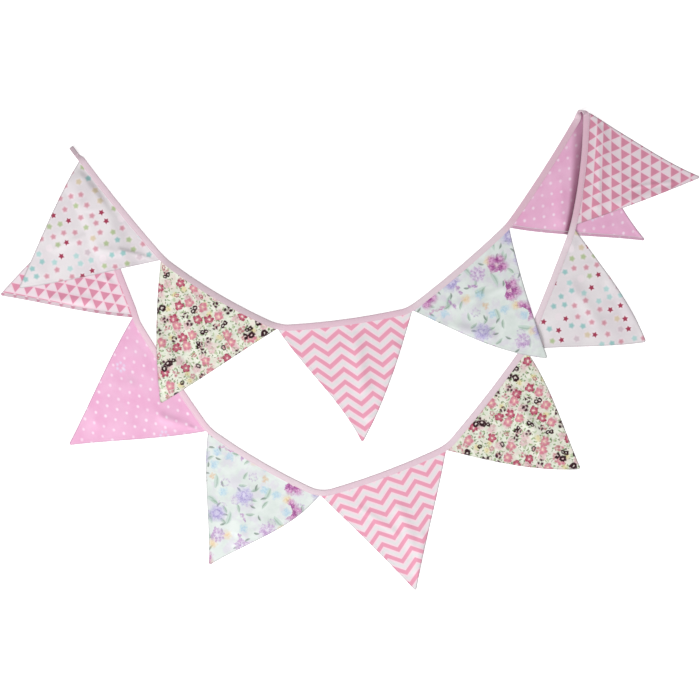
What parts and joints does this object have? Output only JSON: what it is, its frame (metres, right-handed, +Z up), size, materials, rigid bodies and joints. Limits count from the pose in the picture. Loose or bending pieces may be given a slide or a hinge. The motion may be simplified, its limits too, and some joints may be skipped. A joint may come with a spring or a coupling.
{
  "type": "fabric bunting",
  "caption": "String of double-sided triangular cotton flags in mixed floral, star, dot and zigzag prints, held in a folded binding tape with a small hanging loop at each end.",
  "frame": {"origin": "middle of the laid string's plan box, on the surface that it lies on", "axes": "+X to the right and +Y to the top of the string seen from above, +Z up off the surface"},
  "size_m": [1.3268, 0.9112, 0.0148],
  "materials": {
    "flag_01": "pinkish white cotton with small stars in crimson, rose, olive, teal and tan",
    "flag_02": "pale green cotton with coral and crimson flowers, plum rings and small leaves",
    "flag_03": "grey-white cotton with pink chevron stripes",
    "flag_04": "pale mint cotton with soft violet, magenta, yellow and blue flowers",
    "flag_05": "pink cotton with small white dots and sparse pale flowers",
    "flag_06": "cotton in rows of pink and grey-white triangles",
    "flag_07": "pinkish white cotton with small stars in crimson, rose, olive, teal and tan",
    "flag_08": "pale green cotton with coral and crimson flowers, plum rings and small leaves",
    "flag_09": "grey-white cotton with pink chevron stripes",
    "flag_10": "pale mint cotton with soft violet, magenta, yellow and blue flowers",
    "flag_11": "pink cotton with small white dots and sparse pale flowers",
    "flag_12": "cotton in rows of pink and grey-white triangles",
    "binding_tape": "pale pink folded cotton binding, stitched along its inner edge"
  },
  "bodies": {
    "root": {"flag_01": "flag_01", "flag_02": "flag_02", "flag_03": "flag_03", "flag_04": "flag_04", "flag_05": "flag_05", "flag_06": "flag_06", "flag_07": "flag_07", "flag_08": "flag_08", "flag_09": "flag_09", "flag_10": "flag_10", "flag_11": "flag_11", "flag_12": "flag_12", "binding_tape": "binding_tape"}
  },
  "joints": []
}
